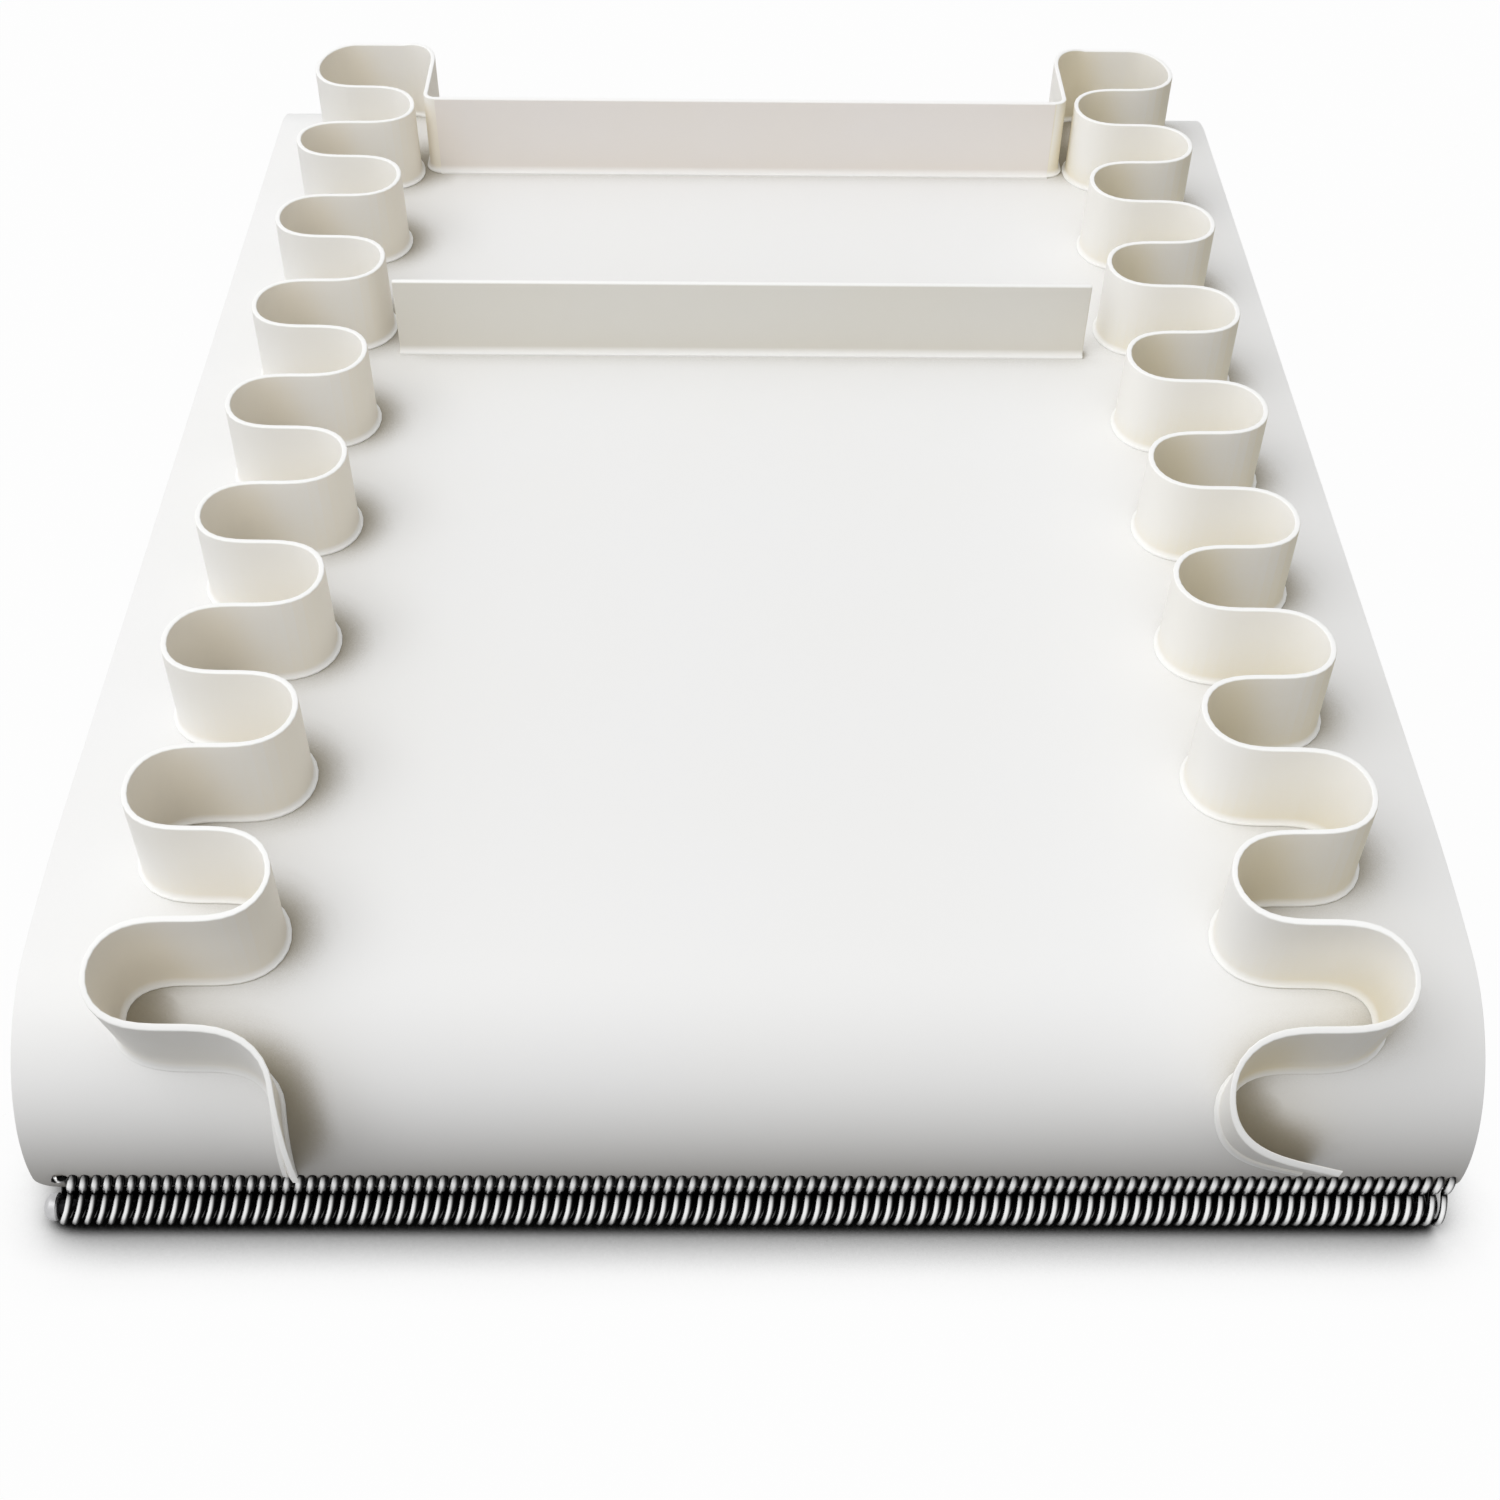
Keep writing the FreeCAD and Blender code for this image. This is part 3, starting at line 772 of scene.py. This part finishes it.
def shelter_group():
    """Openness to the light: one where a surface is free towards the left, nought where it is screened.

    The cone of sight lies about the light's side plus the surface's own normal times Facing.
    """
    group, start, end = new_group("PvcShelter", ["Reach", "Facing"], ["Open"])
    normal = add(group, "NewGeometry").outputs["Normal"]
    parts = {0: normal, 1: start["Facing"], 2: LIGHT_SIDE}
    towards = add(group, "VectorMath", parts, operation="MULTIPLY_ADD").outputs["Vector"]
    unit = add(group, "VectorMath", {0: towards}, operation="NORMALIZE").outputs["Vector"]
    cone = {"Normal": unit, "Distance": start["Reach"]}
    screen = add(group, "AmbientOcclusion", cone, samples=8).outputs["AO"]
    feed(group, end, {"Open": ramp(group, screen, low=0.26, high=0.77)})


def start_material(name):
    """Start a material and return its tree and its shader."""
    material = bpy.data.materials.new(name)
    material.use_nodes = True
    return material, material.node_tree, material.node_tree.nodes["Principled BSDF"]


def bump(tree, height, strength, distance):
    """Return a normal that is bent by a height."""
    parts = {"Height": height, "Strength": strength, "Distance": distance}
    return add(tree, "Bump", parts).outputs["Normal"]


def pvc_material(name, base, warmth, shade, reach, facing, gloss, grain):
    """Soft PVC: clouds of a slightly warmer tint and of gloss, painted shade in a darker, warm tone where
    the light is screened, and a fine grain.
    """
    material, tree, shader = start_material(name)
    surface = place_group(tree, "PvcGrain", {"Vector": coordinates(tree, "Object")})
    light = place_group(tree, "PvcShelter", {"Reach": reach, "Facing": facing})
    warm, deep = ([value * part for value, part in zip(base, tint)] for tint in (warmth, shade))
    free = mix_colour(tree, surface["Cloud"], base, warm)
    feed(tree, shader, {
        # Painted shade: the deep tone where the light is screened, the free tone elsewhere
        "Base Color": mix_colour(tree, light["Open"], deep, free),
        "Roughness": calc(tree, "MULTIPLY_ADD", surface["Cloud"], 0.08, gloss),
        "Specular IOR Level": 0.35,
        "Normal": bump(tree, surface["Height"], strength=grain, distance=0.00004),
    })
    return material


def tint_by_attribute(material, name, tint, limit=None):
    """Mix a tint over a material where a point attribute is high, up to a limit across the belt."""
    fade = 0.0008
    tree = material.node_tree
    shader = tree.nodes["Principled BSDF"]
    mask = point_value(tree, name)
    if limit is not None:
        across = calc(tree, "ABSOLUTE", axes_of(tree, coordinates(tree, "UV"))["X"])
        outside = ramp(tree, across, limit, limit + fade)
        mask = calc(tree, "MULTIPLY", mask, calc(tree, "SUBTRACT", 1.0, outside))
    base = shader.inputs["Base Color"].links[0].from_socket
    feed(tree, shader, {"Base Color": mix_colour(tree, mask, base, tint)})


def ply_material(name, thread, gap):
    """Woven polyester: threads over darker gaps, raised where one thread passes over another."""
    _, tree, shader = start_material(name)
    weave = place_group(tree, "PlyWeave", {"Vector": coordinates(tree, "UV")})
    feed(tree, shader, {
        "Base Color": mix_colour(tree, weave["Thread"], gap, thread),
        "Roughness": 0.82,
        "Sheen Weight": 0.2,
        "Normal": bump(tree, weave["Height"], strength=0.6, distance=0.0002),
    })


def start_metal(name, scale, detail, spread, low):
    """Start a metal with fine streaks in its gloss, and return its tree, its shader and the streaks."""
    _, tree, shader = start_material(name)
    streak = noise(tree, coordinates(tree, "Object"), scale, detail)
    feed(tree, shader, {"Metallic": 1.0, "Roughness": calc(tree, "MULTIPLY_ADD", streak, spread, low)})
    return tree, shader, streak


def wire_material(name, crown, flank, low):
    """Drawn wire: painted highlight on the crowns over painted shade on the flanks."""
    tree, shader, _ = start_metal(name, scale=900.0, detail=2.0, spread=0.16, low=0.2)
    bright = ramp(tree, point_value(tree, "painted_sheen"), low, high=1.0)
    feed(tree, shader, {"Base Color": mix_colour(tree, bright, flank, crown)})


def steel_material(name, base, low):
    """Turned steel: faint rings of gloss and tone."""
    tree, shader, streak = start_metal(name, scale=1400.0, detail=3.0, spread=0.2, low=low)
    darker = [value * 0.8 for value in base]
    feed(tree, shader, {"Base Color": mix_colour(tree, streak, darker, base)})


def make_materials(finish, line):
    """Make the shared node groups and every finish of the belt."""
    grain_group()
    weave_group()
    shelter_group()
    warm = (1.0, 0.994, 0.975)
    belt = {"shade": (0.40, 0.36, 0.28), "reach": 0.016, "facing": 1.0}
    pale = (1.0, 0.998, 0.992)
    cover = pvc_material("belt_cover_white", finish.cover, pale, gloss=0.42, grain=0.10, **belt)
    # Painted shade beside the lacing
    tint_by_attribute(cover, "hem_shade", finish.hem_shade)
    # Painted shadow between the beads, up to a limit across the belt
    tint_by_attribute(cover, "stitch", finish.shade_black, line.bead_shadow_half)
    pvc_material("bond_pvc", finish.bond, warm, gloss=0.5, grain=0.12, **belt)
    raised = (
        # The third value tints the painted shade; the right wall's is warmer and darker than the left's
        ("left_sidewall_ivory", finish.wall, (1.0, 0.95, 0.85)),
        ("right_sidewall_ivory", finish.wall, (0.965, 0.90, 0.735)),
        ("rear_cleat_ivory", finish.rear_cleat, (1.0, 0.975, 0.93)),
        ("front_cleat_ivory", finish.front_cleat, (1.0, 0.975, 0.93)),
    )
    for name, base, shade in raised:
        material = pvc_material(name, base, warm, shade, reach=0.022, facing=0.2, gloss=0.46, grain=0.12)
        # Painted light on the welded feet
        tint_by_attribute(material, "weld", finish.weld)
        # Painted highlight on the rims
        tint_by_attribute(material, "rim", finish.rim)
    ply_material("woven_ply", finish.thread, finish.gap)
    wire_material("sheen_lacing_wire", finish.steel, finish.shade_black, low=0.3)
    wire_material("shaded_lacing_wire", finish.painted_shade_steel, finish.shade_black, low=0.4)
    steel_material("blackened_pin", finish.pin, low=0.35)
    steel_material("bare_steel_head", finish.head, low=0.38)


def finish_of(name):
    return bpy.data.materials[name]


def layer_spans(line):
    """Return each layer's name with its first and last depth."""
    ends = LAYER_DEPTHS[1:] + [LAYER_DEPTHS[-1] + line.lower_ply]
    return list(zip(LAYERS, zip(LAYER_DEPTHS, ends)))


# Operators

class BELT_OT_finishes(Operator):
    """Make the belt's procedural finishes"""

    bl_idname = "belt.finishes"
    bl_label = "Finishes"

    def execute(self, context):
        make_materials(context.scene.belt_finish, context.scene.belt_line)
        return {"FINISHED"}


class BELT_OT_carrying_run(Operator):
    """Make the four layers of the carrying run, nose and rear bend"""

    bl_idname = "belt.carrying_run"
    bl_label = "Carrying run"

    def execute(self, context):
        line = context.scene.belt_line
        for layer, depths in layer_spans(line):
            node = "carrying_" + layer
            piece = layer_piece(node + "_strip", line, carrying_place, carrying_runs(line),
                                carrying_length(line), depths)
            material, slot = LAYERS[layer]
            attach(dress(piece, finish_of(material), slot, node), "carrying_belt")
        return {"FINISHED"}


class BELT_OT_return_run(Operator):
    """Make the four layers of the return run, which bends between the lacing and the rear"""

    bl_idname = "belt.return_run"
    bl_label = "Return run"

    def execute(self, context):
        line = context.scene.belt_line
        for layer, depths in layer_spans(line):
            node = "return_" + layer
            piece = layer_piece(node + "_strip", line, return_place, return_runs(line), 0.0, depths)
            material, slot = LAYERS[layer]
            dress(piece, finish_of(material), slot, node)
            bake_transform(piece)
        return {"FINISHED"}


class BELT_OT_sidewalls(Operator):
    """Make both corrugated sidewalls with their welded feet"""

    bl_idname = "belt.sidewalls"
    bl_label = "Sidewalls"

    def execute(self, context):
        line = context.scene.belt_line
        wall = context.scene.belt_wall
        shapes = (("left_sidewall", -1, True, wall.lobe_shift), ("right_sidewall", 1, False, 0.0))
        for node, mirror, straight_end, shift in shapes:
            piece = wall_piece(node + "_wave", line, wall, mirror, straight_end, shift)
            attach(dress(piece, finish_of(node + "_ivory"), "sidewall", node), "carrying_belt")
        return {"FINISHED"}


class BELT_OT_cleats(Operator):
    """Make both cleats"""

    bl_idname = "belt.cleats"
    bl_label = "Cleats"

    def execute(self, context):
        cleat = context.scene.belt_cleat
        for node, rounding in (("rear_cleat", 0.0), ("front_cleat", cleat.rim)):
            piece = cleat_piece(node, cleat, rounding)
            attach(dress(piece, finish_of(node + "_ivory"), "cleat", node), "carrying_belt")
        return {"FINISHED"}


class BELT_OT_lacing(Operator):
    """Make both spirals of the lacing"""

    bl_idname = "belt.lacing"
    bl_label = "Lacing"

    def execute(self, context):
        lacing = context.scene.belt_lacing
        line = wire_line(lacing, carrying_start(), carrying_turn(), lacing.turns, 2)
        front = spiral_piece("carrying_spiral_wire", lacing, line, lacing.wire, 8)
        dress(front, finish_of("sheen_lacing_wire"), "lacing_wire", "carrying_spiral")
        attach(front, "carrying_belt")
        turn = return_turn()
        line = wire_line(lacing, turn[:0], turn, lacing.turns - 1, 2)
        back = spiral_piece("return_spiral_wire", lacing, line, lacing.return_wire, 6)
        dress(back, finish_of("shaded_lacing_wire"), "lacing_wire", "return_spiral")
        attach(back, "return_belt")
        return {"FINISHED"}


class BELT_OT_hinge_pin(Operator):
    """Make the hinge pin and its rounded head"""

    bl_idname = "belt.hinge_pin"
    bl_label = "Hinge pin"

    def execute(self, context):
        bevel_share = 0.2
        dome_share = 0.75
        dome_out = 0.0007
        radius = (PIN_HIGH.z - PIN_LOW.z) / 2
        bevel = radius * bevel_share
        x = np.array([PIN_LOW.x, PIN_LOW.x + bevel, PIN_HIGH.x - bevel, PIN_HIGH.x])
        rod = turned_piece("hinge_pin_rod", x, radius - np.array([bevel, 0, 0, bevel]), 32)
        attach(dress(rod, finish_of("blackened_pin"), "pin_steel", "hinge_pin"), "lacing_pin")
        head = (HEAD_HIGH.z - HEAD_LOW.z) / 2
        dome = (HEAD_HIGH.x - HEAD_LOW.x) * dome_share
        turn = np.radians(np.linspace(4, 90, 14))
        crown = HEAD_LOW.x - dome_out + dome * (1 - np.cos(turn))
        x = np.concatenate([crown, [HEAD_HIGH.x - bevel, HEAD_HIGH.x]])
        profile = np.concatenate([head * np.sin(turn), [head, head - bevel]])
        cap = turned_piece("pin_head_button", x, profile, 40)
        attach(dress(cap, finish_of("bare_steel_head"), "pin_steel", "pin_head"), "lacing_pin")
        return {"FINISHED"}


class BELT_OT_stage(Operator):
    """Make the floor, the soft light and the camera"""

    bl_idname = "belt.stage"
    bl_label = "Stage"

    def execute(self, context):
        scene = context.scene
        stage = scene.belt_stage
        scene.view_settings.view_transform = "Standard"
        make_floor(stage, scene.belt_finish)
        make_sky(scene, stage)
        make_lamp(stage)
        make_camera(scene, stage)
        return {"FINISHED"}


def show_white(tree, lit, white, end, part):
    """Let a part of camera, glossy and transmitted rays see a white shader, and the rest a lit one."""
    path = add(tree, "LightPath").outputs
    seen = calc(tree, "MAXIMUM", path["Is Camera Ray"], path["Is Glossy Ray"])
    seen = calc(tree, "MAXIMUM", seen, path["Is Transmission Ray"])
    factor = calc(tree, "MULTIPLY", seen, part)
    mix = add(tree, "MixShader", {0: factor, 1: lit.outputs[0], 2: white.outputs[0]})
    feed(tree, tree.nodes[end], {"Surface": mix.outputs[0]})


def make_floor(stage, finish):
    """Lay a flat floor that reads as white away from the belt and darkens where the belt closes over it."""
    half = stage.floor_size / 2
    corners = [(x * half, y * half, -stage.floor_drop) for x, y in ((-1, -1), (1, -1), (1, 1), (-1, 1))]
    mesh = bpy.data.meshes.new("floor")
    mesh.from_pydata(corners, [], [(0, 1, 2, 3)])
    floor = add_object("floor", mesh)
    material, tree, shader = start_material("studio_floor")
    feed(tree, shader, {"Base Color": finish.floor, "Roughness": 0.9, "Specular IOR Level": 0.0})
    open_sky = add(tree, "AmbientOcclusion", {"Distance": stage.shadow}).outputs["AO"]
    shadow_power = 1.2
    white_level = 1.02
    lit = calc(tree, "POWER", ramp(tree, open_sky, low=0.35, high=1.0), shadow_power)
    glow = add(tree, "Emission", {"Strength": calc(tree, "MULTIPLY", lit, white_level)})
    show_white(tree, shader, glow, "Material Output", part=0.96)
    mesh.materials.append(material)


def make_sky(scene, stage):
    """Light the belt softly from all round, most of all from above and the left, behind a white view."""
    world = bpy.data.worlds.new("studio")
    scene.world = world
    world.use_nodes = True
    tree = world.node_tree
    axes = axes_of(tree, coordinates(tree, "Generated"))
    high = ramp(tree, axes["Z"], low=0.0, high=0.9)
    level = calc(tree, "MULTIPLY_ADD", high, stage.zenith - stage.horizon, stage.horizon)
    side = calc(tree, "MULTIPLY_ADD", axes["X"], -stage.side, 1.0)
    bias = calc(tree, "MULTIPLY_ADD", axes["Y"], -stage.front, side)
    sky = tree.nodes["Background"]
    feed(tree, sky, {"Color": WHITE, "Strength": calc(tree, "MULTIPLY", level, bias)})
    white = add(tree, "Background", {"Color": WHITE})
    show_white(tree, sky, white, "World Output", part=1.0)


def make_lamp(stage):
    """Hang one large square lamp to the left of the belt."""
    lamp = bpy.data.lights.new("key", "AREA")
    lamp.shape = "SQUARE"
    lamp.size = stage.key_size
    lamp.energy = stage.key
    key = add_object("key", lamp)
    aim = (KEY_AIM - KEY_PLACE).to_track_quat("-Z", "Y")
    key.matrix_world = Matrix.Translation(KEY_PLACE) @ aim.to_matrix().to_4x4()


def make_camera(scene, stage):
    """Place the camera at the photograph's view: turned about the vertical, tipped down, then rolled."""
    data = bpy.data.cameras.new("view")
    data.sensor_width = 36.0
    data.lens = stage.lens
    data.clip_start = 0.01
    camera = add_object("view", data)
    camera.matrix_world = (
        Matrix.Translation(stage.camera)
        @ Matrix.Rotation(stage.camera_yaw, 4, "Z")
        @ Matrix.Rotation(math.pi / 2 - stage.camera_pitch, 4, "X")
        @ Matrix.Rotation(stage.camera_roll, 4, "Z")
    )
    scene.camera = camera


STEPS = (
    BELT_OT_finishes,
    BELT_OT_carrying_run,
    BELT_OT_return_run,
    BELT_OT_sidewalls,
    BELT_OT_cleats,
    BELT_OT_lacing,
    BELT_OT_hinge_pin,
    BELT_OT_stage,
)


class BELT_PT_panel(Panel):
    """Lists the steps that dress the belt"""

    bl_idname = "BELT_PT_panel"
    bl_label = "Conveyor belt"
    bl_space_type = "VIEW_3D"
    bl_region_type = "UI"
    bl_category = "Belt"

    def draw(self, context):
        for step in STEPS:
            self.layout.operator(step.bl_idname)


GROUPS = {
    "belt_line": BELT_PG_line,
    "belt_wall": BELT_PG_wall,
    "belt_cleat": BELT_PG_cleat,
    "belt_lacing": BELT_PG_lacing,
    "belt_finish": BELT_PG_finish,
    "belt_stage": BELT_PG_stage,
}
CLASSES = (*GROUPS.values(), *STEPS, BELT_PT_panel)


def register():
    for cls in CLASSES:
        bpy.utils.register_class(cls)
    for name, group in GROUPS.items():
        setattr(bpy.types.Scene, name, PointerProperty(type=group))


def unregister():
    for name in GROUPS:
        delattr(bpy.types.Scene, name)
    for cls in reversed(CLASSES):
        bpy.utils.unregister_class(cls)


def main():
    register()
    for step in STEPS:
        group, name = step.bl_idname.split(".")
        getattr(getattr(bpy.ops, group), name)()


if __name__ == "__main__":
    main()
